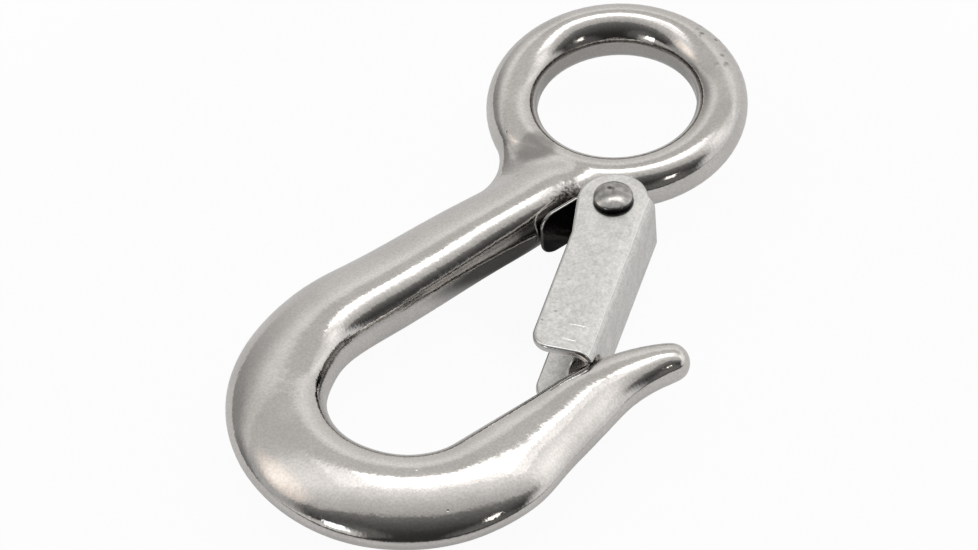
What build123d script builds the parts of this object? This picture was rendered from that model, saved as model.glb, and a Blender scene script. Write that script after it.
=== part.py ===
"""Eye hook with a spring latch, lying flat: eye, leaning shank, round bowl, flared tip and folded latch.

Millimetres. The origin is the eye's centre in the hook's mid-plane. +Z is square to the hook's plane,
+Y runs along the load line from the bowl to the eye, and +X points to the throat, where the latch is.
"""
import os
from math import acos, atan2, cos, degrees, radians, sin, sqrt

from build123d import *

# Eye
EYE_BORE = 25.4          # clear diameter, measured at the land inside the ring
EYE_WIRE = 8.2           # diameter of the ring's round section
EYE_LAND = 2.3           # height of the narrow straight land inside the ring

# Centre line of the hook
BOWL_DROP = 69.85        # eye centre to the centre of the heel arc, along the load line
HEEL_RADIUS = 21.8       # centre-line radius on the shank's side of the bowl
NOSE_RADIUS = 19.75      # centre-line radius on the tip's side of the bowl
NOSE_START = 6.7         # degrees past the bottom of the bowl at which the nose arc takes over
SHANK_LEAN = 25.4        # degrees between the shank and the load line
ARM_LEAN = 16.9          # degrees between the straight arm and the load line
ARM_LENGTH = 21.4        # straight arm, from the nose arc to the flare
FLARE_RADIUS = 27.5      # centre-line radius of the outward flare
FLARE_TURN = 28.7        # degrees that the flare turns before the tip's rounded end

# Egg-shaped sections along the hook: width in the hook's plane, thickness square to it at mid-width
NECK_WIDTH, NECK_THICK = 12.6, 10.3
HEEL_WIDTH, HEEL_THICK = 15.1, 10.6
BOWL_WIDTH, BOWL_THICK = 17.0, 12.0
NOSE_WIDTH, NOSE_THICK = 16.9, 11.2
ARM_WIDTH, ARM_THICK = 10.7, 9.2
TIP_WIDTH = 6.4          # round
CREST_LEAN = 0.28        # how far the thickest part lies towards the inside of the hook, 0 for ovals
SECTION_POINTS = 16      # points on the rim of each section
ROOT_WIDTH, ROOT_THICK = 13.5, 7.3    # the shank's end inside the ring
NECK_RUN = 9.5           # length over which the shank comes out of the ring
NECK_SHIFT = -0.3        # how far the neck sits towards the throat from the shank's line
HEEL_SHIFT = -0.65       # the same at the shank's other end, where the heel arc starts
NECK_BLEND = 10.0        # fillet between ring and shank

# Latch pivot and its lug
PIVOT_X, PIVOT_Y = 11.7, -23.7
PIN_DIAMETER = 4.0
LUG_RADIUS = 3.7         # rounded end of the lug, round the pin
LUG_EDGE = 0.7           # rounded edges of the lug
LUG_WAIST = 1.2          # how much narrower the lug is where it meets the ring
LUG_SINK = 1.6           # how much thinner than the ring it is there

# Latch, folded from sheet
SHEET = 1.5
LATCH_GAP = 10.8         # clear width between the two cheeks
LATCH_LEAN = 11.0        # degrees between the closed latch and the load line
WEB_OFFSET = 6.0         # pin centre to the web's outer face
CHEEK_BACK = 4.6         # pin centre to the cheeks' free edge
EAR_RADIUS = 5.8
EAR_TAPER = 8.0          # how far below the pin the ears run into the cheeks' free edge
WEB_RISE = 2.95          # how far the web reaches above the pin
CHEEK_OVERLAP = 4.8      # how far the cheeks reach past the web, on both sides of the arm
BEND_RADIUS = 1.6        # inside radius of the folds
CHEEK_CORNER = 3.2       # rounded lower corner of the cheeks' free edge
WEB_ARCH = 9.2           # width of the arch in the web's end, which sits over the arm

# Rivet
HEAD_DIAMETER = 6.3
HEAD_HEIGHT = 1.75
HEAD_RIM = 0.75          # height of the head's straight rim

# Leaf spring
LEAF_THICK = 0.6
LEAF_WIDTH = 9.0
LEAF_TAB = 12.1          # how far down the shank the short leg reaches, from the ring's centre line
LEAF_BEND = 1.0          # mid-line radius of the hairpin
LEAF_BELOW_EYE = 2.4     # least distance of the hairpin's corner from the ring
LEAF_TAB_CORNER = 2.8    # rounded corners of the short leg's end
LEAF_FOOT_CORNER = 4.0   # rounded corners of the long leg's end
LEAF_PAST_WEB = 0.8      # how far the long leg's straight part runs past the web
LEAF_CURL = 4.2          # length of the long leg's turned-in end
LEAF_CURL_TURN = 52.0    # degrees
LEAF_CURL_BEND = 2.0     # mid-line radius of that turn

# Clearances
PIN_PLAY = 0.08          # pin to the ears' holes, on the radius
HEAD_PLAY = 0.15         # under each rivet head
WEB_PLAY = 0.7           # web's end to the arm, along the web
LEAF_PLAY = 0.4          # leaf to shank and to web
LUG_PLAY = 0.35          # leaf to lug

# Values that follow from the sizes above
EYE_TUBE = EYE_WIRE / 2
EYE_RING = EYE_BORE / 2 + sqrt(EYE_TUBE**2 - (EYE_LAND / 2) ** 2)
LATCH_HALF = LATCH_GAP / 2 + SHEET
PIN_RADIUS = PIN_DIAMETER / 2
PIVOT = Vector(PIVOT_X, PIVOT_Y)


def heading(angle: float) -> Vector:
    """Unit vector in the hook's plane, at an angle in degrees from +X."""
    return Vector(cos(radians(angle)), sin(radians(angle)))


# Directions of the shank towards the bowl, the arm towards the tip and the closed latch towards its foot
SHANK_DOWN, SHANK_INWARD = heading(270 - SHANK_LEAN), heading(360 - SHANK_LEAN)
ARM_UP, ARM_OUTWARD = heading(90 - ARM_LEAN), heading(-ARM_LEAN)
LATCH_DOWN, LATCH_OUT = heading(270 + LATCH_LEAN), heading(LATCH_LEAN)


class HookLine:
    """Centre line of the hook: straight shank, heel arc, nose arc, straight arm and flare, all tangent."""

    def __init__(self):
        self.heel_centre = Vector(0, -BOWL_DROP)
        self.heel_from = 180 - SHANK_LEAN
        self.nose_from = 270 + NOSE_START
        self.nose_to = 360 - ARM_LEAN
        self.nose_centre = self.heel_centre + heading(self.nose_from) * (HEEL_RADIUS - NOSE_RADIUS)
        self.shank_end = self.on_heel(self.heel_from)
        self.shank_start = self.shank_end - SHANK_DOWN * self.shank_length()
        self.arm_start = self.on_nose(self.nose_to)
        self.arm_end = self.arm_start + ARM_UP * ARM_LENGTH
        self.flare_centre = self.arm_end + ARM_OUTWARD * FLARE_RADIUS

    def shank_length(self) -> float:
        """Length of the shank from the ring's centre line to the heel arc."""
        aside = self.shank_end.dot(SHANK_INWARD)
        return self.shank_end.dot(SHANK_DOWN) - sqrt(EYE_RING**2 - aside**2)

    def on_heel(self, angle: float) -> Vector:
        return self.heel_centre + heading(angle) * HEEL_RADIUS

    def on_nose(self, angle: float) -> Vector:
        return self.nose_centre + heading(angle) * NOSE_RADIUS

    def on_flare(self, turn: float) -> Vector:
        return self.flare_centre + heading(180 - ARM_LEAN - turn) * FLARE_RADIUS


LINE = HookLine()


def crossing(first: Vector, first_way: Vector, second: Vector, second_way: Vector) -> float:
    """Distance along the first line at which it crosses the second."""
    gap = second - first
    return gap.cross(second_way).Z / first_way.cross(second_way).Z


def arm_flank(reach: float) -> Vector:
    """Point on the arm's inner flank in the mid-plane, at a distance along the arm and its flare."""
    if reach <= ARM_LENGTH:
        width = NOSE_WIDTH + (ARM_WIDTH - NOSE_WIDTH) * reach / ARM_LENGTH
        return LINE.arm_start + ARM_UP * reach - ARM_OUTWARD * width / 2
    turn = degrees((reach - ARM_LENGTH) / FLARE_RADIUS)
    width = ARM_WIDTH + (TIP_WIDTH - ARM_WIDTH) * turn / FLARE_TURN
    return LINE.on_flare(turn) - heading(-ARM_LEAN - turn) * width / 2


def web_length() -> float:
    """Length of the web below the pin, to where its outer face meets the arm's inner flank."""
    near, far = 0.0, ARM_LENGTH + FLARE_RADIUS * radians(FLARE_TURN)
    for _ in range(40):
        middle = (near + far) / 2
        if (arm_flank(middle) - PIVOT).dot(LATCH_OUT) < WEB_OFFSET:
            near = middle
        else:
            far = middle
    return (arm_flank(near) - PIVOT).dot(LATCH_DOWN) - WEB_PLAY


WEB_LENGTH = web_length()
CHEEK_LENGTH = WEB_LENGTH + CHEEK_OVERLAP


def between(first: tuple, second: tuple, share: float) -> tuple:
    """Section size part of the way from one named section to the next."""
    return tuple(a + (b - a) * share for a, b in zip(first, second))


def egg(centre: Vector, travel: float, size: tuple) -> Face:
    """Section square to the direction of travel in degrees, with its width, thickness and crest lean."""
    width, thick, lean = size
    plane = Plane(origin=centre, x_dir=heading(travel - 90), z_dir=heading(travel))
    turns = [radians(360 * step / SECTION_POINTS) for step in range(SECTION_POINTS)]
    rim = [(width / 2 * cos(turn), thick / 2 * sin(turn) * (1 - lean * cos(turn))) for turn in turns]
    return plane * make_face(Spline(rim, periodic=True))


def hook_sections() -> list:
    """Sections from inside the ring, down the shank and round the bowl to the tip."""
    root = (ROOT_WIDTH, ROOT_THICK, 0)
    neck, heel = (NECK_WIDTH, NECK_THICK, CREST_LEAN), (HEEL_WIDTH, HEEL_THICK, CREST_LEAN)
    bowl, nose = (BOWL_WIDTH, BOWL_THICK, CREST_LEAN), (NOSE_WIDTH, NOSE_THICK, CREST_LEAN)
    arm, tip = (ARM_WIDTH, ARM_THICK, CREST_LEAN), (TIP_WIDTH, TIP_WIDTH, 0)

    down, up = 270 - SHANK_LEAN, 90 - ARM_LEAN
    from_eye = degrees(atan2(LINE.shank_start.Y, LINE.shank_start.X))
    neck_end = LINE.shank_start + SHANK_DOWN * NECK_RUN
    neck_centre = neck_end + SHANK_INWARD * NECK_SHIFT
    sections = [egg(LINE.shank_start, from_eye, root), egg(neck_centre, down, neck)]
    for share in (0.25, 0.5, 0.75, 1.0):
        aside = NECK_SHIFT + (HEEL_SHIFT - NECK_SHIFT) * share
        centre = neck_end + (LINE.shank_end - neck_end) * share + SHANK_INWARD * aside
        sections.append(egg(centre, down, between(neck, heel, share)))
    for share in (0.2, 0.4, 0.6, 0.8, 1.0):
        angle = LINE.heel_from + (LINE.nose_from - LINE.heel_from) * share
        sections.append(egg(LINE.on_heel(angle), angle + 90, between(heel, bowl, share)))
    for share in (0.33, 0.67, 1.0):
        angle = LINE.nose_from + (LINE.nose_to - LINE.nose_from) * share
        sections.append(egg(LINE.on_nose(angle), angle + 90, between(bowl, nose, share)))
    for share in (0.33, 0.67, 1.0):
        sections.append(egg(LINE.arm_start + ARM_UP * ARM_LENGTH * share, up, between(nose, arm, share)))
    for share in (0.25, 0.5, 0.75, 1.0):
        turn = FLARE_TURN * share
        sections.append(egg(LINE.on_flare(turn), up - turn, between(arm, tip, share)))
    return sections + tip_sections()


def tip_sections() -> list:
    """Shrinking sections that close the tip as half a ball."""
    travel = 90 - ARM_LEAN - FLARE_TURN
    centre, onward = LINE.on_flare(FLARE_TURN), heading(travel) * (TIP_WIDTH / 2)
    sections = []
    for climb in (35, 62, 80):
        width = TIP_WIDTH * cos(radians(climb))
        sections.append(egg(centre + onward * sin(radians(climb)), travel, (width, width, 0)))
    return sections + [Vertex(*(centre + onward))]


def hook_bar() -> Part:
    """Shank, bowl and arm as one smooth bar with a rounded tip."""
    return loft(hook_sections())


def eye_ring() -> Part:
    """Ring of round section with a narrow straight land inside, and its seam at the far side."""
    section = Pos(EYE_RING, 0, 0) * Rot(90, 0, 0) * Circle(EYE_TUBE)
    section -= Rot(90, 0, 0) * Rectangle(EYE_BORE, EYE_WIRE)
    return Rot(0, 0, 90) * revolve(section, Axis.Z, 360)


def lug() -> Part:
    """Lug below the ring that carries the latch's pin, thinner where it runs into the ring."""
    towards_eye = -PIVOT.normalized()
    aside = Vector(-towards_eye.Y, towards_eye.X)
    at_pin = Plane(origin=PIVOT, x_dir=aside, z_dir=towards_eye)
    at_ring = Plane(origin=-towards_eye * EYE_RING, x_dir=aside, z_dir=towards_eye)
    root = loft([
        at_pin * RectangleRounded(2 * LUG_RADIUS, NECK_THICK, LUG_EDGE),
        at_ring * RectangleRounded(2 * LUG_RADIUS - LUG_WAIST, EYE_WIRE - LUG_SINK, LUG_EDGE),
    ])
    boss = Cylinder(LUG_RADIUS, NECK_THICK)
    return root + Pos(PIVOT) * fillet(boss.edges().filter_by(GeomType.CIRCLE), LUG_EDGE)


def hook_body() -> Part:
    """Ring, shank, bowl, tip and lug in one piece, with the pin's hole."""
    body = eye_ring() + hook_bar()
    seam = body.edges().filter_by(GeomType.BSPLINE).sort_by_distance(LINE.shank_start)[0]
    body = fillet(seam, NECK_BLEND) + lug()
    return body - Pos(PIVOT) * Cylinder(PIN_RADIUS, BOWL_THICK * 2)


def on_latch(piece: Part) -> Part:
    """Place a piece drawn with the pin at its origin, the web at +X and the foot at -Y."""
    return Pos(PIVOT) * Rot(0, 0, LATCH_LEAN) * piece


def ear_taper() -> Face:
    """Wedge that runs straight off the round ear, and meets the cheek's free edge below the pin."""
    foot = Vector(-CHEEK_BACK, -EAR_TAPER)
    off_foot = degrees(acos(EAR_RADIUS / foot.length))
    touch = heading(degrees(atan2(foot.Y, foot.X)) - off_foot) * EAR_RADIUS
    return make_face(Polyline((0, 0), touch, foot, close=True))


def latch() -> Part:
    """Channel folded from sheet: two cheeks with round ears and the web, with an arch to seat on the arm."""
    strip_height = CHEEK_LENGTH + WEB_RISE
    strip_centre = ((WEB_OFFSET - CHEEK_BACK) / 2, (WEB_RISE - CHEEK_LENGTH) / 2)
    strip = Pos(*strip_centre) * Rectangle(WEB_OFFSET + CHEEK_BACK, strip_height)
    free_corner = strip.vertices().sort_by_distance(Vector(-CHEEK_BACK, -CHEEK_LENGTH))[0]
    side = fillet(free_corner, CHEEK_CORNER) + Circle(EAR_RADIUS) + ear_taper()
    body = extrude(side, LATCH_HALF, both=True)
    upright = body.edges().filter_by(Axis.Y)
    folds = upright.filter_by_position(Axis.X, WEB_OFFSET - SHEET / 2, WEB_OFFSET + SHEET / 2)
    body = fillet(folds, BEND_RADIUS + SHEET)

    depth = WEB_OFFSET - SHEET + 2 * EAR_RADIUS
    hollow = Pos(WEB_OFFSET - SHEET - depth / 2, 0, 0) * Box(depth, 4 * CHEEK_LENGTH, LATCH_GAP)
    inner_folds = hollow.edges().filter_by(Axis.Y).sort_by(Axis.X)[-2:]
    body -= fillet(inner_folds, BEND_RADIUS)
    web_end = Plane(origin=(WEB_OFFSET, -CHEEK_LENGTH, 0), x_dir=(0, 0, 1), z_dir=(1, 0, 0))
    body -= extrude(web_end * Ellipse(WEB_ARCH / 2, CHEEK_OVERLAP), EAR_RADIUS, both=True)
    body -= Cylinder(PIN_RADIUS + PIN_PLAY, 4 * LATCH_HALF)
    return on_latch(body)


def rivet() -> Part:
    """Pin with a low domed head at each side of the latch."""
    seat = LATCH_HALF + HEAD_PLAY
    head, crown, top = HEAD_DIAMETER / 2, HEAD_HEIGHT - HEAD_RIM, seat + HEAD_HEIGHT
    dome = (head**2 + crown**2) / (2 * crown)
    rim_angle = degrees(acos(head / dome))
    outline = [
        Line((0, 0), (PIN_RADIUS, 0)),
        Line((PIN_RADIUS, 0), (PIN_RADIUS, seat)),
        Line((PIN_RADIUS, seat), (head, seat)),
        Line((head, seat), (head, seat + HEAD_RIM)),
        CenterArc((0, top - dome), dome, rim_angle, 90 - rim_angle),
        Line((0, top), (0, 0)),
    ]
    half = revolve(Rot(90, 0, 0) * make_face(outline), Axis.Z, 360)
    return Pos(PIVOT) * (half + mirror(half, Plane.XY))


def leaf_points() -> list:
    """Corners of the leaf's mid-line: tab end, hairpin, end of the straight leg and turned-in end."""
    flank = NECK_SHIFT + NECK_WIDTH / 2 + LEAF_PLAY + LEAF_THICK / 2
    tab = LINE.shank_start + SHANK_DOWN * LEAF_TAB + SHANK_INWARD * flank
    foot_out = WEB_OFFSET - SHEET - LEAF_PLAY - LEAF_THICK / 2
    foot = PIVOT + LATCH_OUT * foot_out + LATCH_DOWN * (WEB_LENGTH + LEAF_PAST_WEB)

    # The long leg's line runs through the foot and clears the lug's round end
    reach = (foot - PIVOT).length
    hug = LUG_RADIUS + LUG_PLAY + LEAF_THICK / 2
    to_pivot = (PIVOT - foot).normalized()
    away = Vector(-to_pivot.Y, to_pivot.X)
    leg_way = to_pivot * sqrt(1 - (hug / reach) ** 2) + away * (hug / reach)
    highest = EYE_RING + EYE_TUBE + LEAF_BELOW_EYE
    room = tab.dot(SHANK_DOWN) - sqrt(highest**2 - tab.dot(SHANK_INWARD) ** 2)
    hairpin = tab - SHANK_DOWN * min(crossing(tab, -SHANK_DOWN, foot, leg_way), room)
    leg_way = (hairpin - foot).normalized()

    turn = Rot(0, 0, -LEAF_CURL_TURN)
    curl_way = (turn * Pos(-leg_way)).position
    return [tab, hairpin, foot, foot + curl_way * LEAF_CURL]


def leaf_spring() -> Part:
    """Flat strip bent into a hairpin between the shank and the latch."""
    points = leaf_points()
    path = FilletPolyline(*points, radius=[LEAF_BEND, LEAF_CURL_BEND])
    section = Plane(origin=path @ 0, z_dir=path % 0, x_dir=(0, 0, 1)) * Rectangle(LEAF_WIDTH, LEAF_THICK)
    strip = sweep(section, path=path)
    strip = round_end(strip, points[0], LEAF_TAB_CORNER)
    return round_end(strip, points[-1], LEAF_FOOT_CORNER)


def round_end(strip: Part, end: Vector, radius: float) -> Part:
    """Round the two corners of the strip's end that lies at a point."""
    short = strip.edges().filter_by(lambda edge: abs(edge.length - LEAF_THICK) < LEAF_THICK / 10)
    return fillet(short.sort_by_distance(end)[:2], radius)


def main() -> None:
    os.makedirs("parts", exist_ok=True)
    for make in (hook_body, latch, rivet, leaf_spring):
        export_step(make(), f"parts/{make.__name__}.step")


main()
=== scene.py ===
"""Dresses the eye hook and its spring latch: finishes, soft edges, the leaf spring with its long leg cut
across, stage and camera.
"""
import logging
import math
from dataclasses import dataclass
from enum import Enum

import bmesh
import bpy
from mathutils import Matrix, Quaternion, Vector


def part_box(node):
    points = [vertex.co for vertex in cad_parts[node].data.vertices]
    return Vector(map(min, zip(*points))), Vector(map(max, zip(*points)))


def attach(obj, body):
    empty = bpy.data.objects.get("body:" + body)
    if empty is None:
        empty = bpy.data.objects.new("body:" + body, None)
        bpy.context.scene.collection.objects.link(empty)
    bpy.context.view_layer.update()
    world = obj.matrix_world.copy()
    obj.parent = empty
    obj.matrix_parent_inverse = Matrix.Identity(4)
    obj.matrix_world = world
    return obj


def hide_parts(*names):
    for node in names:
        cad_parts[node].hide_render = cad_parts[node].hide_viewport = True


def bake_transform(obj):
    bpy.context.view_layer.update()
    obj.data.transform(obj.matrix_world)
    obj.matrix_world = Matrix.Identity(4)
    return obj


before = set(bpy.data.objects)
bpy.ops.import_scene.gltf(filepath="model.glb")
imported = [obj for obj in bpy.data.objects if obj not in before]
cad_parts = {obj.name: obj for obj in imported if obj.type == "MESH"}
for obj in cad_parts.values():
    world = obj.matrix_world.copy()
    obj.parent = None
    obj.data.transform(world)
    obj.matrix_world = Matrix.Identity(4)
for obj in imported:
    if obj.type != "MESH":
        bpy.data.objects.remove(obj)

LOG = logging.getLogger("eye_hook")
MM = 0.001

Rgb = tuple[float, float, float]
Point = tuple[float, float, float]
Socket = bpy.types.NodeSocket
Feed = Socket | float | tuple
Feeds = dict[str | int, Feed]

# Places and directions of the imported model, in metres and degrees
PIN = Vector((11.7, -23.7, 0.0)) * MM
LATCH_LEAN = 11.0
SHANK_LEAN = 25.4

# Direction from which the object is seen, and the level directions that go with it
VIEW_AZIMUTH = math.radians(29.75)
VIEW_ELEVATION = math.radians(47.5)
TOWARDS_VIEWER = Vector((math.sin(VIEW_AZIMUTH), -math.cos(VIEW_AZIMUTH), 0.0))
TO_THE_RIGHT = Vector((math.cos(VIEW_AZIMUTH), math.sin(VIEW_AZIMUTH), 0.0))
UP = Vector((0.0, 0.0, 1.0))


def metres(*lengths: float) -> tuple[float, ...]:
    """Give lengths in millimetres as metres."""
    return tuple(length * MM for length in lengths)


class Body(Enum):
    """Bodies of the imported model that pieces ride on."""

    HOOK = "hook"
    LATCH = "latch"


class Slot(Enum):
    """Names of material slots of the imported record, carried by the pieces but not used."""

    SHEET = "sheet_steel"
    RIVET = "rivet_steel"
    SPRING = "spring_steel"


class Effect(Enum):
    """Surface effects that more than one finish uses."""

    MOTTLE = "cloudy_mottle"
    PEEL = "polishing_peel"
    PITS = "small_pits"
    HAIRLINES = "rubbed_hairlines"


class Graph:
    """A node tree with short calls for adding nodes and joining their sockets."""

    def __init__(self, tree: bpy.types.NodeTree) -> None:
        """Start on an emptied tree.

        Args:
            tree: Node tree of a material, the world or a node group.
        """
        self.tree = tree
        tree.nodes.clear()

    def node(self, kind: str, feeds: Feeds | None = None, **settings: object) -> bpy.types.Node:
        """Add one shader node, set its properties and feed its inputs.

        Args:
            kind: Node type without the ShaderNode in front.
            feeds: Input names or numbers, each with a plain value or an output socket.
            settings: Node properties by name.

        Returns:
            The new node.
        """
        node = self.tree.nodes.new("ShaderNode" + kind)
        for label, value in settings.items():
            setattr(node, label, value)
        for label, value in (feeds or {}).items():
            self.feed(node.inputs[label], value)
        return node

    def feed(self, socket: Socket, value: Feed) -> None:
        """Join an input to an output socket, or set its plain value.

        Args:
            socket: Input that is fed.
            value: Output socket or plain value.
        """
        if isinstance(value, Socket):
            self.tree.links.new(value, socket)
        else:
            socket.default_value = value

    def math(self, operation: str, first: Feed, second: Feed = 0.0) -> Socket:
        """Combine two numbers.

        Args:
            operation: Name of the Math node's operation.
            first: First number.
            second: Second number, where the operation has one.

        Returns:
            The result.
        """
        return self.node("Math", {0: first, 1: second}, operation=operation).outputs[0]

    def vector(self, operation: str, first: Feed, second: Feed) -> bpy.types.Node:
        """Add a Vector Math node on two vectors.

        Args:
            operation: Name of its operation.
            first: First vector.
            second: Second vector.

        Returns:
            The node, because some operations put out a number and others a vector.
        """
        return self.node("VectorMath", {0: first, 1: second}, operation=operation)

    def remap(self, value: Feed, span: tuple[Feed, Feed], into: tuple[Feed, Feed] = (0.0, 1.0)) -> Socket:
        """Map a number from one span to another, smoothly and without going past its ends.

        Args:
            value: Number that is mapped.
            span: Its two ends.
            into: What those ends become.

        Returns:
            The mapped number.
        """
        feeds = {
            "Value": value,
            "From Min": span[0],
            "From Max": span[1],
            "To Min": into[0],
            "To Max": into[1],
        }
        return self.node("MapRange", feeds, interpolation_type="SMOOTHSTEP").outputs["Result"]

    def noise(self, place: Feed, scale: Feed, detail: float = 2.0) -> Socket:
        """Add a noise texture.

        Args:
            place: Coordinates that it reads.
            scale: Bumps per metre.
            detail: Number of finer layers.

        Returns:
            Its value, around one half.
        """
        return self.node("TexNoise", {"Vector": place, "Scale": scale, "Detail": detail}).outputs["Fac"]

    def tint(self, mask: Feed, first: Feed, second: Feed) -> Socket:
        """Mix two colours.

        Args:
            mask: Share of the second colour.
            first: Colour at mask 0, as a socket or four numbers.
            second: Colour at mask 1.

        Returns:
            The mixed colour.
        """
        mix = self.node("Mix", {0: mask, 6: first, 7: second}, data_type="RGBA")
        return mix.outputs[2]

    def effect(self, effect: Effect, place: Feed, **numbers: float) -> Socket:
        """Place a shared effect with this material's own values.

        Args:
            effect: Which effect.
            place: Coordinates that it reads.
            numbers: Its inputs by name, with underscores for spaces.

        Returns:
            The effect's result.
        """
        group = self.node("Group", node_tree=effect_group(effect))
        self.feed(group.inputs["Vector"], place)
        for label, value in numbers.items():
            group.inputs[label.replace("_", " ").title()].default_value = value
        return group.outputs[0]


class EffectGroup(Graph):
    """A node group that reads a vector and some numbers and puts out one number."""

    def __init__(self, effect: Effect, numbers: list[str], output: str) -> None:
        """Make the group and its sockets.

        Args:
            effect: Effect that it is for.
            numbers: Names of its number inputs.
            output: Name of what it puts out.
        """
        super().__init__(bpy.data.node_groups.new(effect.value, "ShaderNodeTree"))
        sockets = self.tree.interface
        sockets.new_socket("Vector", in_out="INPUT", socket_type="NodeSocketVector")
        for label in numbers:
            sockets.new_socket(label, in_out="INPUT", socket_type="NodeSocketFloat")
        sockets.new_socket(output, in_out="OUTPUT", socket_type="NodeSocketFloat")
        self.given = self.tree.nodes.new("NodeGroupInput").outputs
        self.result = self.tree.nodes.new("NodeGroupOutput").inputs[output]

    def done(self, value: Socket) -> bpy.types.NodeTree:
        """Put a number out and give the finished group."""
        self.feed(self.result, value)
        return self.tree


def mottle_group() -> bpy.types.NodeTree:
    """Build the soft cloudy variation between a low and a high value."""
    group = EffectGroup(Effect.MOTTLE, ["Scale", "Low", "High"], "Value")
    cloud = group.noise(group.given["Vector"], group.given["Scale"], 3.0)
    return group.done(group.remap(cloud, (0.36, 0.64), (group.given["Low"], group.given["High"])))


def peel_group() -> bpy.types.NodeTree:
    """Build the fine skin and the slow waves that polishing leaves, as a height in metres."""
    names = ["Fine Scale", "Fine Height", "Wave Scale", "Wave Height"]
    group = EffectGroup(Effect.PEEL, names, "Height")
    place = group.given["Vector"]
    fine = group.noise(place, group.given["Fine Scale"], 2.0)
    wave = group.noise(place, group.given["Wave Scale"], 1.0)
    fine_height = group.math("MULTIPLY", fine, group.given["Fine Height"])
    wave_height = group.math("MULTIPLY", wave, group.given["Wave Height"])
    return group.done(group.math("ADD", fine_height, wave_height))


def pits_group() -> bpy.types.NodeTree:
    """Build scattered round pits: a share of the cells of a pattern has one each."""
    group = EffectGroup(Effect.PITS, ["Scale", "Share", "Radius"], "Mask")
    cells = group.node("TexVoronoi", {"Vector": group.given["Vector"], "Scale": group.given["Scale"]})
    draw = group.node("SeparateColor", {0: cells.outputs["Color"]}).outputs[0]
    chosen = group.math("LESS_THAN", draw, group.given["Share"])
    spread = group.remap(draw, (0.0, group.given["Share"]), (0.4, 1.0))
    size = group.math("MULTIPLY", group.given["Radius"], spread)
    hollow = group.remap(cells.outputs["Distance"], (0.0, size), (1.0, 0.0))
    return group.done(group.math("MULTIPLY", chosen, hollow))


def hairlines_group() -> bpy.types.NodeTree:
    """Build fine lines along the first axis of the given coordinates."""
    group = EffectGroup(Effect.HAIRLINES, ["Along", "Across", "Start"], "Mask")
    across = group.given["Across"]
    stretch = group.node("CombineXYZ", {0: group.given["Along"], 1: across, 2: across}).outputs[0]
    place = group.vector("MULTIPLY", group.given["Vector"], stretch).outputs[0]
    start = group.given["Start"]
    return group.done(group.remap(group.noise(place, 1.0, 2.0), (start, group.math("ADD", start, 0.14))))


def effect_group(effect: Effect) -> bpy.types.NodeTree:
    """Give an effect's node group, which is built the first time it is asked for.

    Args:
        effect: Which effect.

    Returns:
        Its node group.
    """
    builders = {
        Effect.MOTTLE: mottle_group,
        Effect.PEEL: peel_group,
        Effect.PITS: pits_group,
        Effect.HAIRLINES: hairlines_group,
    }
    return bpy.data.node_groups.get(effect.value) or builders[effect]()


@dataclass(frozen=True)
class Finish:
    """A steel finish: its colour, and the least and greatest roughness of its surface."""

    name: str
    colour: Rgb
    shade: Rgb
    smooth: float
    rough: float

    def material(self) -> bpy.types.Material:
        """Make the material and its nodes.

        Returns:
            The finished material.
        """
        material = bpy.data.materials.new(self.name)
        material.use_nodes = True
        graph = Graph(material.node_tree)
        place = graph.node("TexCoord").outputs["Object"]
        colour, roughness, height = self.surface(graph, place)
        bump = graph.node("Bump", {"Height": height, "Distance": 1.0, "Strength": 1.0})
        feeds = {"Base Color": colour, "Roughness": roughness, "Normal": bump.outputs[0], "Metallic": 1.0}
        steel = graph.node("BsdfPrincipled", feeds)
        graph.node("OutputMaterial", {"Surface": steel.outputs[0]})
        return material

    def surface(self, graph: Graph, place: Socket) -> tuple[Socket, Socket, Socket]:
        """Give the colour, roughness and height over the surface.

        Args:
            graph: Nodes of the material.
            place: Object coordinates.

        Returns:
            Colour, roughness, and height in metres.
        """
        raise NotImplementedError

    def near(
        self,
        graph: Graph,
        place: Socket,
        spot: Point,
        inner: float,
        outer: float,
        ragged: float = 3.0,
    ) -> Socket:
        """Mask round a spot of the hook's plane, nearly the same on both sides of that plane.

        Args:
            graph: Nodes of the material.
            place: Object coordinates.
            spot: Middle of the spot in millimetres.
            inner: Radius of its full part in millimetres.
            outer: Radius at which it has faded out.
            ragged: How far its rim wanders in and out.

        Returns:
            The mask.
        """
        level = graph.vector("MULTIPLY", place, (1.0, 1.0, 0.3)).outputs[0]
        distance = graph.vector("DISTANCE", level, tuple(Vector(spot) * MM)).outputs["Value"]
        swing = graph.math("SUBTRACT", graph.noise(place, 420.0, 2.0), 0.5)
        wander = graph.math("MULTIPLY", swing, ragged * MM)
        return graph.remap(graph.math("ADD", distance, wander), metres(inner, outer), (1.0, 0.0))

    def flat(self, graph: Graph, place: Socket) -> Socket:
        """Give the coordinates laid flat into the hook's plane."""
        return graph.vector("MULTIPLY", place, (1.0, 1.0, 0.0)).outputs[0]

    def aligned(self, graph: Graph, place: Socket, turn: float) -> Socket:
        """Turn coordinates about the pin.

        Args:
            graph: Nodes of the material.
            place: Object coordinates.
            turn: Direction of the new first axis, in degrees from +X.

        Returns:
            The turned coordinates.
        """
        feeds = {"Vector": place, "Location": tuple(PIN), "Rotation": (0.0, 0.0, math.radians(turn))}
        return graph.node("Mapping", feeds, vector_type="TEXTURE").outputs[0]


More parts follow.
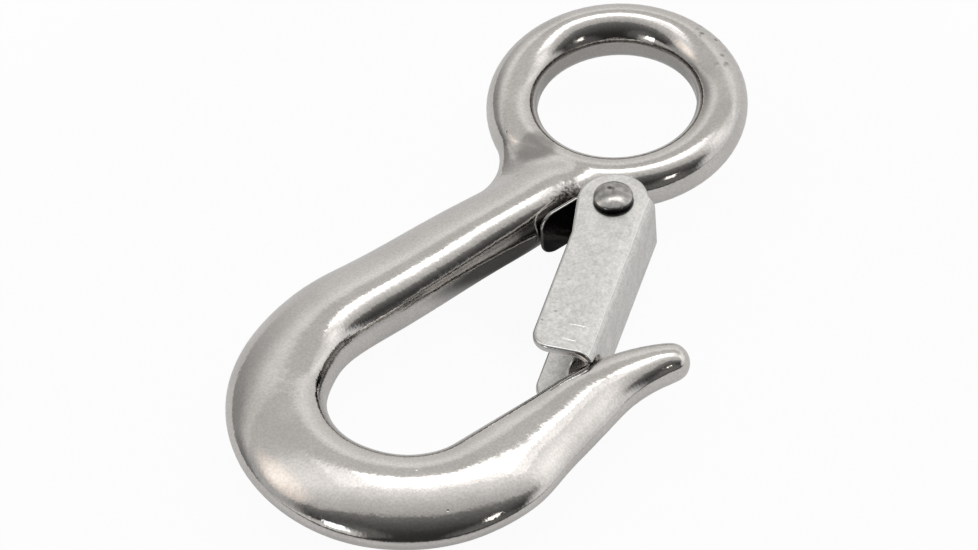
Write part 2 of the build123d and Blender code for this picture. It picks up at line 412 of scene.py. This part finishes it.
@dataclass(frozen=True)
class PolishedCasting(Finish):
    """Cast stainless steel, tumbled and polished, with rough cast surface left in a corner that no wheel
    reaches, and the crevice in that corner painted near-black as painted shade.
    """

    # Near-black colour of the dark pits, and of the painted shade in the crevice by the lug
    pits_and_crevice_dark: Rgb = (0.08, 0.077, 0.074)
    # Darker grey painted as shade on the eye's inner wall and as a dark reflection on the neck facet
    shade_grey: Rgb = (0.27, 0.26, 0.25)
    tarnish: Rgb = (0.40, 0.392, 0.384)
    pocket: Point = (3.8, -23.1, 0.8)
    neck: Point = (-6.0, -16.6, 1.2)
    pitted: Point = (10.2, 15.8, 0.6)
    crest: Point = (-7.0, 15.0, 0.0)
    wear: float = 0.55
    land_edge: tuple[float, float] = (12.8, 13.9)
    worn_ring: tuple[float, float] = (13.0, 18.0)
    outer_ring: tuple[float, float] = (15.6, 17.2)
    pit_depth: float = 9e-5

    def surface(self, graph: Graph, place: Socket) -> tuple[Socket, Socket, Socket]:
        """Give the colour, roughness and height of the polished casting.

        Args:
            graph: Nodes of the material.
            place: Object coordinates.

        Returns:
            Colour, roughness, and height in metres.
        """
        # Rough cast patch by the lug: its roughness and crust are real, and its near-black colour further
        # down is painted shade of the crevice
        raw = self.near(graph, place, self.pocket, 1.5, 3.0)
        # Neck facet: rougher for real, and painted darker further down
        satin = self.near(graph, place, self.neck, 1.9, 4.2)
        pitted = self.near(graph, place, self.pitted, 3.0, 7.5)
        worn = self.near(graph, place, self.crest, 7.0, 14.0, ragged=0.0)
        from_eye = graph.node("VectorMath", {0: self.flat(graph, place)}, operation="LENGTH").outputs["Value"]
        land_shade = graph.remap(from_eye, metres(*self.land_edge), (1.0, 0.0))
        pitted = graph.math("MULTIPLY", pitted, graph.remap(from_eye, metres(*self.outer_ring)))
        shank = self.aligned(graph, place, 270.0 - SHANK_LEAN)
        lines = graph.effect(Effect.HAIRLINES, shank, along=90.0, across=2600.0, start=0.56)
        few_pits = graph.effect(Effect.PITS, place, scale=420.0, share=0.035, radius=0.13)
        more_pits = graph.effect(Effect.PITS, place, scale=800.0, share=0.7, radius=0.6)
        pits = graph.math("MAXIMUM", few_pits, graph.math("MULTIPLY", more_pits, pitted))

        roughness = graph.effect(Effect.MOTTLE, place, scale=150.0, low=self.smooth, high=self.rough)
        speckle = graph.effect(Effect.MOTTLE, place, scale=1500.0, low=-0.03, high=0.03)
        roughness = graph.math("ADD", roughness, speckle)
        roughness = graph.math("ADD", roughness, graph.math("MULTIPLY", lines, 0.05))
        roughness = graph.math("ADD", roughness, graph.math("MULTIPLY", satin, 0.2))
        roughness = graph.math("ADD", roughness, graph.math("MULTIPLY", pits, 0.25))
        roughness = graph.math("ADD", roughness, graph.math("MULTIPLY", raw, 0.30))

        cloud = graph.effect(Effect.MOTTLE, place, scale=95.0, low=0.0, high=1.0)
        colour = graph.tint(cloud, (*self.colour, 1.0), (*self.shade, 1.0))
        grain = graph.effect(Effect.MOTTLE, place, scale=2600.0, low=0.0, high=0.25)
        colour = graph.tint(grain, colour, (*self.tarnish, 1.0))
        # Painted shade on the eye's inner wall, and a painted dark reflection on the neck facet; the facet's
        # extra roughness above is real
        painted_shade = graph.math("MAXIMUM", satin, graph.math("MULTIPLY", land_shade, 0.7))
        colour = graph.tint(graph.math("MULTIPLY", painted_shade, 0.8), colour, (*self.shade_grey, 1.0))
        grit = graph.effect(Effect.MOTTLE, place, scale=2200.0, low=0.3, high=1.0)
        # Painted shade in the crevice by the lug, together with the real dark pits
        pits_and_crevice_shade = graph.math("MAXIMUM", graph.math("MULTIPLY", raw, grit), graph.math("MULTIPLY", pits, 0.85))
        colour = graph.tint(pits_and_crevice_shade, colour, (*self.pits_and_crevice_dark, 1.0))

        height = graph.effect(
            Effect.PEEL, place, fine_scale=1900.0, fine_height=1.1e-5, wave_scale=120.0, wave_height=6e-5)
        slope = graph.remap(from_eye, metres(*self.worn_ring), (0.0, self.wear * MM))
        height = graph.math("ADD", height, graph.math("MULTIPLY", worn, slope))
        crust = graph.effect(
            Effect.PEEL, place, fine_scale=1500.0, fine_height=9e-5, wave_scale=600.0, wave_height=1e-4)
        height = graph.math("ADD", height, graph.math("MULTIPLY", raw, crust))
        height = graph.math("SUBTRACT", height, graph.math("MULTIPLY", pits, self.pit_depth))
        return colour, roughness, height


@dataclass(frozen=True)
class SatinSheet(Finish):
    """Rolled sheet, tumbled to a cloudy satin, with rubbed lines and two knocks on the upper cheek."""

    # Light colour of the knocks and rubbed streaks, and of the painted highlight along the fold
    knock_and_highlight: Rgb = (0.95, 0.945, 0.935)
    speck: Rgb = (0.22, 0.217, 0.214)
    # Colour of the painted shadow round the rivet head
    head_shadow: Rgb = (0.05, 0.048, 0.046)
    pressed: float = 5.3
    upper_cheek: float = 5.0
    free_side: tuple[float, float] = (-4.6, 1.0)
    foot: tuple[float, float] = (12.0, 27.0)
    head_shift: float = 0.5
    head_shade: tuple[float, float] = (3.1, 3.35)
    streak_turn: float = 28.0
    knocks: tuple[Point, ...] = ((27.3, 1.9, 1.5), (30.5, 1.5, 1.3))

    def surface(self, graph: Graph, place: Socket) -> tuple[Socket, Socket, Socket]:
        """Give the colour, roughness and height of the sheet.

        Args:
            graph: Nodes of the material.
            place: Object coordinates.

        Returns:
            Colour, roughness, and height in metres.
        """
        sheet = self.aligned(graph, place, LATCH_LEAN - 90.0)
        lines = graph.effect(Effect.HAIRLINES, sheet, along=110.0, across=3400.0, start=0.52)
        streaks = self.aligned(graph, place, self.streak_turn)
        cross = graph.effect(Effect.HAIRLINES, streaks, along=420.0, across=2600.0, start=0.6)
        parts = graph.node("SeparateXYZ", {0: sheet}).outputs
        free_side = graph.remap(parts[1], metres(*self.free_side), (1.0, 0.3))
        foot = graph.remap(parts[0], metres(*self.foot), (0.2, 1.0))
        pits = graph.effect(Effect.PITS, place, scale=1000.0, share=0.45, radius=0.6)
        pits = graph.math("MULTIPLY", pits, graph.math("MULTIPLY", free_side, foot))
        marks = self.marks(graph, sheet)
        crease_highlight = self.crease_highlight(graph, sheet)
        # Painted shadow: a dark ring on the cheek round the rivet head, its middle shifted towards the viewer
        under_head = tuple(PIN + TOWARDS_VIEWER * self.head_shift * MM)
        from_pin = graph.vector("DISTANCE", self.flat(graph, place), under_head).outputs["Value"]
        head_shadow = graph.remap(from_pin, metres(*self.head_shade), (1.0, 0.0))

        roughness = graph.effect(Effect.MOTTLE, place, scale=900.0, low=self.smooth, high=self.rough)
        roughness = graph.math("ADD", roughness, graph.math("MULTIPLY", lines, 0.05))
        roughness = graph.math("SUBTRACT", roughness, graph.math("MULTIPLY", marks, 0.12))

        fine = graph.effect(Effect.MOTTLE, place, scale=2400.0, low=0.0, high=0.65)
        broad = graph.effect(Effect.MOTTLE, place, scale=420.0, low=0.0, high=0.35)
        colour = graph.tint(graph.math("ADD", fine, broad), (*self.colour, 1.0), (*self.shade, 1.0))
        colour = graph.tint(graph.math("MULTIPLY", pits, 0.8), colour, (*self.speck, 1.0))
        rubbed = graph.math("MAXIMUM", marks, graph.math("MULTIPLY", cross, 0.5))
        # Painted highlight along the fold's start, added to the real rubbed marks
        rubbed = graph.math("MAXIMUM", rubbed, graph.math("MULTIPLY", crease_highlight, 0.8))
        colour = graph.tint(rubbed, colour, (*self.knock_and_highlight, 1.0))
        colour = graph.tint(graph.math("MULTIPLY", head_shadow, 0.9), colour, (*self.head_shadow, 1.0))

        height = graph.effect(
            Effect.PEEL, place, fine_scale=1700.0, fine_height=1.6e-5, wave_scale=210.0, wave_height=6e-5)
        height = graph.math("ADD", height, graph.math("MULTIPLY", lines, -3e-6))
        height = graph.math("SUBTRACT", height, graph.math("MULTIPLY", marks, 4e-5))
        height = graph.math("ADD", height, graph.math("MULTIPLY", crease_highlight, 5e-5))
        return colour, roughness, height

    def crease_highlight(self, graph: Graph, sheet: Socket) -> Socket:
        """Mask the fine line along the cheek at the fold's start: a pressed ridge in the height, and a
        painted highlight in the colour.

        Args:
            graph: Nodes of the material.
            sheet: Coordinates down the latch and across it.

        Returns:
            The mask.
        """
        parts = graph.node("SeparateXYZ", {0: sheet}).outputs
        upper = graph.math("GREATER_THAN", parts[2], self.upper_cheek * MM)
        wander = graph.math("MULTIPLY", graph.noise(sheet, 160.0), 0.3 * MM)
        across = graph.math("ADD", parts[1], wander)
        off_line = graph.math("ABSOLUTE", graph.math("SUBTRACT", across, self.pressed * MM))
        thin = graph.remap(off_line, metres(0.03, 0.16), (1.0, 0.0))
        return graph.math("MULTIPLY", thin, upper)

    def marks(self, graph: Graph, sheet: Socket) -> Socket:
        """Mask the knocks: short dents across the upper cheek, near its foot.

        Args:
            graph: Nodes of the material.
            sheet: Coordinates down the latch and across it.

        Returns:
            The mask.
        """
        parts = graph.node("SeparateXYZ", {0: sheet}).outputs
        upper = graph.math("GREATER_THAN", parts[2], self.upper_cheek * MM)
        total: Feed = 0.0
        for down, out, half in self.knocks:
            wavy = graph.math("MULTIPLY_ADD", graph.noise(sheet, 500.0), 0.5 * MM)
            wavy.node.inputs[2].default_value = -(down + 0.25) * MM
            off_line = graph.math("ABSOLUTE", graph.math("ADD", parts[0], wavy))
            off_middle = graph.math("ABSOLUTE", graph.math("SUBTRACT", parts[1], out * MM))
            thin = graph.remap(off_line, metres(0.06, 0.22), (1.0, 0.0))
            short = graph.remap(off_middle, metres(half - 0.5, half), (1.0, 0.0))
            total = graph.math("MAXIMUM", total, graph.math("MULTIPLY", thin, short))
        return graph.math("MULTIPLY", total, upper)


@dataclass(frozen=True)
class PeenedHead(Finish):
    """Rivet heads closed by hammering: soft dents, a scored crown, and flanks painted nearly black as painted
    shade.
    """

    scored: Rgb = (0.04, 0.04, 0.04)
    mark: Point = (10.9, -23.2, 2.6)
    flank_shade: Rgb = (0.05, 0.05, 0.05)
    crown: float = 7.85

    def surface(self, graph: Graph, place: Socket) -> tuple[Socket, Socket, Socket]:
        """Give the colour, roughness and height of the rivet.

        Args:
            graph: Nodes of the material.
            place: Object coordinates.

        Returns:
            Colour, roughness, and height in metres.
        """
        dents = graph.effect(Effect.PITS, place, scale=520.0, share=0.8, radius=0.55)
        score = self.near(graph, place, self.mark, 0.5, 1.0, ragged=2.2)
        rubbed = self.aligned(graph, place, 60.0)
        lines = graph.effect(Effect.HAIRLINES, rubbed, along=300.0, across=2400.0, start=0.55)
        roughness = graph.effect(Effect.MOTTLE, place, scale=600.0, low=self.smooth, high=self.rough)
        roughness = graph.math("ADD", roughness, graph.math("MULTIPLY", lines, 0.08))
        cloud = graph.effect(Effect.MOTTLE, place, scale=900.0, low=0.0, high=1.0)
        colour = graph.tint(cloud, (*self.colour, 1.0), (*self.shade, 1.0))
        colour = graph.tint(graph.math("MULTIPLY", score, 0.9), colour, (*self.scored, 1.0))
        # Painted shade: the straight flanks nearly black
        colour = graph.tint(self.flank_shade_mask(graph, place), colour, (*self.flank_shade, 1.0))
        height = graph.effect(
            Effect.PEEL, place, fine_scale=2100.0, fine_height=1e-5, wave_scale=700.0, wave_height=2e-5)
        height = graph.math("SUBTRACT", height, graph.math("MULTIPLY", dents, 1e-5))
        return colour, roughness, height

    def flank_shade_mask(self, graph: Graph, place: Socket) -> Socket:
        """Mask the heads' straight flanks, below their crowns, which take the painted shade.

        Args:
            graph: Nodes of the material.
            place: Object coordinates.

        Returns:
            The mask.
        """
        out = graph.math("ABSOLUTE", graph.node("SeparateXYZ", {0: place}).outputs[2])
        return graph.remap(out, metres(self.crown - 0.1, self.crown), (1.0, 0.0))


@dataclass(frozen=True)
class SpringStrip(Finish):
    """Hard rolled strip with fine lines along it, painted dark as painted shade round its short leg on the
    shank.
    """

    leg_shade: Rgb = (0.10, 0.098, 0.095)
    shaded_leg: Point = (4.0, -26.0, 0.0)

    def surface(self, graph: Graph, place: Socket) -> tuple[Socket, Socket, Socket]:
        """Give the colour, roughness and height of the strip.

        Args:
            graph: Nodes of the material.
            place: Object coordinates.

        Returns:
            Colour, roughness, and height in metres.
        """
        along = self.aligned(graph, place, -63.0)
        lines = graph.effect(Effect.HAIRLINES, along, along=70.0, across=2800.0, start=0.5)
        roughness = graph.effect(Effect.MOTTLE, place, scale=260.0, low=self.smooth, high=self.rough)
        roughness = graph.math("ADD", roughness, graph.math("MULTIPLY", lines, 0.06))
        cloud = graph.effect(Effect.MOTTLE, place, scale=240.0, low=0.0, high=1.0)
        colour = graph.tint(cloud, (*self.colour, 1.0), (*self.shade, 1.0))
        # Painted shade: darker round the short leg; the cut-edge finish sets this colour near its own
        colour = graph.tint(self.near(graph, place, self.shaded_leg, 9.0, 14.0), colour, (*self.leg_shade, 1.0))
        height = graph.effect(
            Effect.PEEL, place, fine_scale=2000.0, fine_height=5e-6, wave_scale=260.0, wave_height=3e-5)
        return colour, roughness, height


@dataclass
class SoftenedPiece:
    """A piece made from a CAD node: triangles joined, sharp edges rounded, faces shaded smooth."""

    name: str
    node: str
    slot: Slot
    finish: Finish
    edge: float
    rounds: int = 2
    sharp: float = 34.0
    cut: Finish | None = None

    def build(self) -> bpy.types.Object:
        """Make the piece and dress it.

        Returns:
            The piece, in place of its CAD node.
        """
        mesh = bpy.data.meshes.new(self.name)
        work = bmesh.new()
        work.from_mesh(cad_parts[self.node].data)
        bmesh.ops.remove_doubles(work, verts=work.verts, dist=0.001 * MM)
        bmesh.ops.dissolve_limit(
            work, angle_limit=math.radians(0.5), verts=work.verts, edges=work.edges, delimit={"NORMAL"})
        self.soften(work)
        self.refine(work)
        work.to_mesh(mesh)
        work.free()
        piece = bpy.data.objects.new(self.name, mesh)
        bpy.context.scene.collection.objects.link(piece)
        mesh.shade_smooth()
        mesh.set_sharp_from_angle(angle=math.radians(self.sharp))
        weighted = piece.modifiers.new("even_normals", "WEIGHTED_NORMAL")
        weighted.keep_sharp = True
        mesh.materials.append(self.finish.material())
        if self.cut:
            mesh.materials.append(self.cut.material())
        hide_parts(self.node)
        self.attach(piece)
        return piece

    def soften(self, work: bmesh.types.BMesh) -> None:
        """Round the sharp edges.

        Args:
            work: Mesh that is changed.
        """
        limit = math.radians(self.sharp)
        edges = [edge for edge in work.edges if edge.is_manifold and edge.calc_face_angle() > limit]
        rounded = bmesh.ops.bevel(
            work, geom=edges, offset=self.edge * MM, offset_type="OFFSET", affect="EDGES",
            segments=self.rounds, profile=0.5, material=-1, clamp_overlap=False)
        if self.cut:
            for face in rounded["faces"]:
                face.material_index = 1

    def refine(self, work: bmesh.types.BMesh) -> None:
        """Add what this piece needs beyond rounded edges, which is nothing by default."""

    def attach(self, piece: bpy.types.Object) -> None:
        """Say which body the piece moves with.

        Args:
            piece: The finished piece.
        """
        raise NotImplementedError


@dataclass
class LatchSheet(SoftenedPiece):
    """The folded latch, with its cut edges tumbled round and brighter than the sheet."""

    inside: float = 5.42

    def refine(self, work: bmesh.types.BMesh) -> None:
        """Give the walls of the cheeks' outline the second finish.

        Args:
            work: Mesh that is changed.
        """
        work.normal_update()
        for face in work.faces:
            upright = abs(face.normal.z) < 0.35
            if upright and abs(face.calc_center_median().z) > self.inside * MM:
                face.material_index = 1

    def attach(self, piece: bpy.types.Object) -> None:
        """Let the sheet swing with the latch."""
        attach(piece, Body.LATCH.value)


@dataclass
class PinRivet(SoftenedPiece):
    """The rivet, fast in the hook's lug."""

    def attach(self, piece: bpy.types.Object) -> None:
        """Keep the rivet on the hook."""
        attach(piece, Body.HOOK.value)


@dataclass
class LeafStrip(SoftenedPiece):
    """The leaf spring, between shank and latch."""

    hairpin: Point = (6.2, -22.6, 0.0)
    stay: float = 0.6
    follow: float = 7.0
    cuts: int = 14

    def across(self) -> Vector:
        """Give the direction from the short leg towards the long one."""
        return Vector((math.cos(math.radians(SHANK_LEAN)), -math.sin(math.radians(SHANK_LEAN)), 0.0))

    def station(self, reach: float) -> Vector:
        """Give the point at a distance from the hairpin, in millimetres, square to the short leg."""
        return (Vector(self.hairpin) + self.across() * reach) * MM

    def refine(self, work: bmesh.types.BMesh) -> None:
        """Cut the long leg across at even steps along it.

        Args:
            work: Mesh that is changed.
        """
        for step in range(self.cuts + 1):
            reach = self.stay + (self.follow - self.stay) * step / self.cuts
            whole = work.verts[:] + work.edges[:] + work.faces[:]
            bmesh.ops.bisect_plane(work, geom=whole, plane_co=self.station(reach), plane_no=self.across())

    def attach(self, piece: bpy.types.Object) -> None:
        """Bake the leaf's placement into its mesh, on no body."""
        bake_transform(piece)


@dataclass
class HookBody:
    """The casting itself: eye, shank, bowl and tip, with its CAD shape kept."""

    node: str
    finish: Finish

    def build(self) -> bpy.types.Object:
        """Dress the CAD node.

        Returns:
            The node's object.
        """
        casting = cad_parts[self.node]
        casting.data.materials.clear()
        casting.data.materials.append(self.finish.material())
        return casting


def direction(tilt: float, aside: float) -> Vector:
    """Give a direction as seen from the object.

    Args:
        tilt: Degrees from straight up towards the viewer.
        aside: Degrees from there to the right.

    Returns:
        The unit vector.
    """
    overhead = TOWARDS_VIEWER * math.sin(math.radians(tilt)) + UP * math.cos(math.radians(tilt))
    return overhead * math.cos(math.radians(aside)) + TO_THE_RIGHT * math.sin(math.radians(aside))


@dataclass(frozen=True)
class Glow:
    """A soft round light on the room's walls, placed as a softbox is."""

    tilt: float
    aside: float
    core: float
    reach: float
    colour: Rgb

    def add(self, graph: Graph, way: Socket, light: Socket) -> Socket:
        """Add the glow to the room's light.

        Args:
            graph: Nodes of the world.
            way: Direction that is looked in.
            light: Colour of the room so far.

        Returns:
            The colour with the glow.
        """
        middle = tuple(direction(self.tilt, self.aside))
        facing = graph.vector("DOT_PRODUCT", way, middle).outputs["Value"]
        ends = math.cos(math.radians(self.reach)), math.cos(math.radians(self.core))
        feeds = {0: graph.remap(facing, ends), 6: light, 7: (*self.colour, 1.0)}
        mix = graph.node("Mix", feeds, data_type="RGBA", blend_type="ADD")
        return mix.outputs[2]


@dataclass(frozen=True)
class Softbox:
    """A studio lamp, placed by the directions in which the object sees it."""

    name: str
    tilt: float
    aside: float
    depth: float
    width: float
    radiance: float
    colour: Rgb = (1.0, 0.99, 0.975)
    distance: float = 0.8

    def build(self) -> None:
        """Hang the lamp and turn it to the object."""
        aside = math.radians(self.aside)
        outward = direction(self.tilt, self.aside)
        overhead = direction(self.tilt, 0.0)
        across = TO_THE_RIGHT * math.cos(aside) - overhead * math.sin(aside)
        data = bpy.data.lights.new(self.name, "AREA")
        data.shape = "RECTANGLE"
        data.size = 2 * self.distance * math.tan(math.radians(self.width) / 2)
        data.size_y = 2 * self.distance * math.tan(math.radians(self.depth) / 2)
        data.energy = self.radiance * math.pi * data.size * data.size_y
        data.color = self.colour
        lamp = bpy.data.objects.new(self.name, data)
        turn = Matrix((across, outward.cross(across), outward)).transposed().to_4x4()
        lamp.matrix_world = Matrix.Translation(Studio.middle + outward * self.distance) @ turn
        lamp.visible_camera = False
        bpy.context.scene.collection.objects.link(lamp)


@dataclass(frozen=True)
class Studio:
    """Pale floor, softboxes, and a room that is light behind the object and dark behind the viewer."""

    middle = Vector((0.0, -40.0, 0.0)) * MM
    floor_size: float = 0.7
    floor_slope: float = 2.15
    floor_glow: float = 0.78
    floor_dark: float = 0.06
    pale_ends: tuple[float, float] = (0.095, 0.135)
    clean_ends: tuple[float, float] = (0.06, 0.16)
    glow_share: float = 0.4
    # Middle of the floor's painted shadow under the latch, in millimetres, and the distances over which it
    # fades
    floor_shadow: Point = (6.0, -36.0, -9.0)
    floor_shadow_ends: tuple[float, float] = (0.006, 0.017)
    warmth: Rgb = (1.0, 0.988, 0.968)
    lamps: tuple[Softbox, ...] = (
        Softbox("top_box", -14.0, 9.0, depth=14.0, width=42.0, radiance=1.1),
        Softbox("top_halo", -12.5, 7.0, depth=20.0, width=62.0, radiance=0.32),
        Softbox("left_spot", 64.0, -42.0, depth=14.0, width=12.0, radiance=2.0, colour=(0.93, 0.97, 1.0)),
        Softbox("right_spot", 57.0, 38.0, depth=9.0, width=7.0, radiance=2.4, colour=(1.0, 0.96, 0.9)),
    )
    glows: tuple[Glow, ...] = (
        Glow(tilt=-6.0, aside=-55.0, core=3.0, reach=19.0, colour=(0.36, 0.28, 0.21)),
        Glow(tilt=-22.0, aside=62.0, core=8.0, reach=24.0, colour=(0.25, 0.245, 0.235)),
        Glow(tilt=84.0, aside=36.0, core=5.0, reach=28.0, colour=(0.12, 0.118, 0.115)),
        Glow(tilt=64.0, aside=-30.0, core=5.0, reach=20.0, colour=(0.10, 0.098, 0.095)),
    )
    room: tuple[tuple[float, float], ...] = (
        (-180.0, 0.65), (-130.0, 0.78), (-100.0, 0.78), (-88.0, 0.68), (-70.0, 0.74), (-54.0, 0.90),
        (-48.0, 0.82), (-44.0, 0.62), (-30.0, 0.62), (-24.0, 0.72), (-18.0, 0.95), (-8.0, 1.04),
        (-2.0, 0.95), (4.0, 0.76), (10.0, 0.65), (15.0, 0.58), (20.0, 0.52), (22.0, 0.46),
        (25.0, 0.21), (36.0, 0.12), (44.0, 0.09), (52.0, 0.055), (62.0, 0.04), (92.0, 0.035),
        (105.0, 0.3), (180.0, 0.5),
    )

    def build(self) -> None:
        """Set up the floor, the room and the lamps."""
        self.lay_floor()
        self.light_room()
        for lamp in self.lamps:
            lamp.build()

    def lay_floor(self) -> None:
        """Lay the floor under the rivet's head and the bowl, on which the object rests."""
        work = bmesh.new()
        bmesh.ops.create_grid(work, x_segments=1, y_segments=1, size=self.floor_size)
        lowest = Vector((PIN.x, PIN.y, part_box("rivet")[0][2]))
        slope = Matrix.Rotation(-math.radians(self.floor_slope), 4, "X")
        bmesh.ops.transform(work, matrix=Matrix.Translation(lowest) @ slope, verts=work.verts)
        mesh = bpy.data.meshes.new("floor")
        work.to_mesh(mesh)
        work.free()
        floor = bpy.data.objects.new("floor", mesh)
        bpy.context.scene.collection.objects.link(floor)
        mesh.materials.append(self.floor_material())

    def floor_material(self) -> bpy.types.Material:
        """Make the floor: white to the camera with a faint shadow, and pale in the steel, with a painted
        shadow under the latch.

        Returns:
            The floor's material.
        """
        material = bpy.data.materials.new("white_floor")
        material.use_nodes = True
        graph = Graph(material.node_tree)
        rays = graph.node("LightPath").outputs
        place = graph.node("TexCoord").outputs["Object"]
        ahead = graph.vector("DOT_PRODUCT", place, tuple(TOWARDS_VIEWER)).outputs["Value"]
        away = graph.vector("DISTANCE", place, tuple(self.middle)).outputs["Value"]
        seen = graph.math("MAXIMUM", rays["Is Glossy Ray"], rays["Is Transmission Ray"])
        # Painted shadow: the floor darkened round a spot under the latch and the ring, mostly as the steel
        # sees it
        floor_shadow = graph.vector("DISTANCE", place, tuple(Vector(self.floor_shadow) * MM)).outputs["Value"]
        pale = graph.remap(ahead, self.pale_ends, (self.floor_glow, self.floor_dark))
        pale = graph.math("MULTIPLY", pale, graph.remap(floor_shadow, self.floor_shadow_ends, (0.15, 1.0)))
        strength = graph.math("ADD", rays["Is Camera Ray"], graph.math("MULTIPLY", seen, pale))
        clean = graph.remap(away, self.clean_ends, (0.95, 1.0))
        share = graph.math("MULTIPLY", rays["Is Camera Ray"], clean)
        share = graph.math("ADD", share, graph.math("MULTIPLY", seen, self.glow_share))
        grey = graph.node("CombineColor", {0: pale, 1: pale, 2: pale}).outputs[0]
        matt = graph.node("BsdfDiffuse", {"Color": grey})
        glow = graph.node("Emission", {"Color": (1.0, 1.0, 1.0, 1.0), "Strength": strength})
        mixed = graph.node("MixShader", {0: share, 1: matt.outputs[0], 2: glow.outputs[0]})
        graph.node("OutputMaterial", {"Surface": mixed.outputs[0]})
        return material

    def light_room(self) -> None:
        """Set the world: white to the camera, and to the steel a light back wall and a dark front."""
        world = bpy.data.worlds.new("room")
        bpy.context.scene.world = world
        world.use_nodes = True
        graph = Graph(world.node_tree)
        way = graph.node("TexCoord").outputs["Generated"]
        towards = graph.vector("DOT_PRODUCT", way, tuple(TOWARDS_VIEWER)).outputs["Value"]
        right = graph.vector("DOT_PRODUCT", way, tuple(TO_THE_RIGHT)).outputs["Value"]
        height = graph.node("SeparateXYZ", {0: way}).outputs[2]
        tilt = graph.math("DEGREES", graph.math("ARCTAN2", towards, height))
        ramp = graph.node("ValToRGB", {0: graph.math("MULTIPLY_ADD", tilt, 1.0 / 360.0)})
        ramp.inputs[0].links[0].from_node.inputs[2].default_value = 0.5
        stops = ramp.color_ramp.elements
        while len(stops) < len(self.room):
            stops.new(1.0)
        for stop, (angle, level) in zip(stops, self.room):
            stop.position = angle / 360.0 + 0.5
            stop.color = (*(level * share for share in self.warmth), 1.0)
        behind = graph.remap(tilt, (-72.0, -32.0), (0.42, 1.0))
        dimmer = graph.remap(right, (-0.75, -0.1), (behind, 1.0))
        sides = graph.remap(graph.math("ABSOLUTE", right), (0.83, 0.95), (0.0, 0.95))
        walls = graph.tint(sides, ramp.outputs[0], graph.remap(right, (-0.6, 0.6), (0.48, 0.8)))
        left = graph.remap(right, (-0.6, -0.42), (1.0, 0.0))
        low = graph.math("MULTIPLY", graph.remap(tilt, (56.0, 66.0)), left)
        walls = graph.tint(low, walls, (0.66, 0.652, 0.639, 1.0))
        for glow in self.glows:
            walls = glow.add(graph, way, walls)
        rays = graph.node("LightPath").outputs
        strength = graph.math("MAXIMUM", dimmer, rays["Is Camera Ray"])
        colour = graph.tint(rays["Is Camera Ray"], walls, (1.0, 1.0, 1.0, 1.0))
        light = graph.node("Background", {"Color": colour, "Strength": strength})
        graph.node("OutputWorld", {"Surface": light.outputs[0]})


@dataclass(frozen=True)
class LongLens:
    """The camera, far off with a long lens."""

    aim: Point = (-1.85, -40.86, 0.0)
    distance: float = 3.85
    lens: float = 900.0
    roll: float = 3.5
    reach: float = 20.0

    def place(self) -> None:
        """Set up the camera."""
        data = bpy.data.cameras.new("camera")
        data.lens = self.lens
        data.clip_end = self.reach
        camera = bpy.data.objects.new("camera", data)
        back = TOWARDS_VIEWER * math.cos(VIEW_ELEVATION) + UP * math.sin(VIEW_ELEVATION)
        camera.location = Vector(self.aim) * MM + back * self.distance
        camera.rotation_mode = "QUATERNION"
        upright = (-back).to_track_quat("-Z", "Y")
        camera.rotation_quaternion = upright @ Quaternion((0.0, 0.0, 1.0), -math.radians(self.roll))
        bpy.context.scene.collection.objects.link(camera)
        bpy.context.scene.camera = camera


CASTING = PolishedCasting("polished_casting", (0.772, 0.744, 0.721), (0.70, 0.675, 0.654), 0.06, 0.11)
SHEET = SatinSheet("satin_sheet", (0.93, 0.92, 0.90), (0.71, 0.702, 0.686), 0.28, 0.40)
RIVET = PeenedHead("peened_head", (0.50, 0.488, 0.475), (0.34, 0.332, 0.323), 0.11, 0.19)
CUT = SpringStrip("cut_edge", (0.74, 0.73, 0.72), (0.64, 0.632, 0.623), 0.10, 0.18, leg_shade=(0.70, 0.69, 0.68))
STRIP = SpringStrip("spring_strip", (0.66, 0.645, 0.63), (0.56, 0.547, 0.535), 0.13, 0.22)


def main() -> None:
    """Build the stage and the pieces in order."""
    logging.basicConfig(level=logging.INFO, format="%(name)s: %(message)s")
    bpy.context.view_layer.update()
    bpy.context.scene.view_settings.view_transform = "Standard"
    LongLens().place()
    Studio().build()
    assemblies = (
        HookBody("hook_body", CASTING),
        LatchSheet("latch_sheet", "latch", Slot.SHEET, SHEET, edge=0.5, rounds=5, cut=CUT),
        PinRivet("pin_rivet", "rivet", Slot.RIVET, RIVET, edge=0.16),
        LeafStrip("leaf_strip", "leaf_spring", Slot.SPRING, STRIP, edge=0.22, rounds=3, cut=CUT),
    )
    for assembly in assemblies:
        piece = assembly.build()
        LOG.info("%s has %d faces", piece.name, len(piece.data.polygons))


if __name__ == "__main__":
    main()
